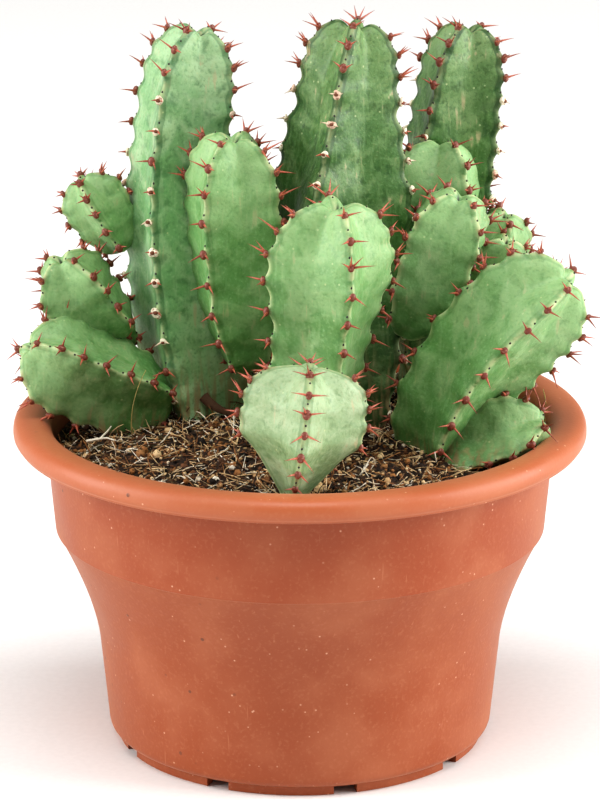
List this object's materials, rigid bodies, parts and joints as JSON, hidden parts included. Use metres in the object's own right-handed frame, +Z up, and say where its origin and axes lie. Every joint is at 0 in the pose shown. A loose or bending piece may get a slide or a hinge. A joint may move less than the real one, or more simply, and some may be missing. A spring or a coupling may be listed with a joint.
{
  "type": "potted euphorbia",
  "caption": "Clump-forming succulent with ribbed, spiny columnar stems in peaty soil, in a round flared plastic nursery pot with a rolled rim and a notched foot ring.",
  "frame": {"origin": "centre of the circle that the pot's foot ring stands on, at the surface it rests on", "axes": "+Z up through the pot; -Y is the front, where the lowest, palest stem leans on the rim; +X is to the right seen from the front"},
  "size_m": [0.1708, 0.171, 0.217],
  "materials": {
    "pot_plastic": "satin",
    "soil": "matte",
    "old_stem": "matte",
    "young_stem": "matte",
    "pale_stem": "matte",
    "spine": "satin",
    "dry_litter": "matte"
  },
  "bodies": {
    "root": {"pot": "pot_plastic", "soil": "soil", "tall_left_stem": "old_stem", "tall_middle_stem": "old_stem", "tall_right_stem": "old_stem", "front_middle_stem": "young_stem", "left_inner_stem": "young_stem", "right_leaning_stem": "young_stem", "right_low_stem": "young_stem", "right_inner_stem": "young_stem", "right_back_stem": "young_stem", "right_back_offset": "young_stem", "right_small_offset": "young_stem", "left_upper_offset": "young_stem", "left_middle_stem": "young_stem", "left_low_stem": "young_stem", "front_low_stem": "pale_stem"}
  },
  "joints": []
}
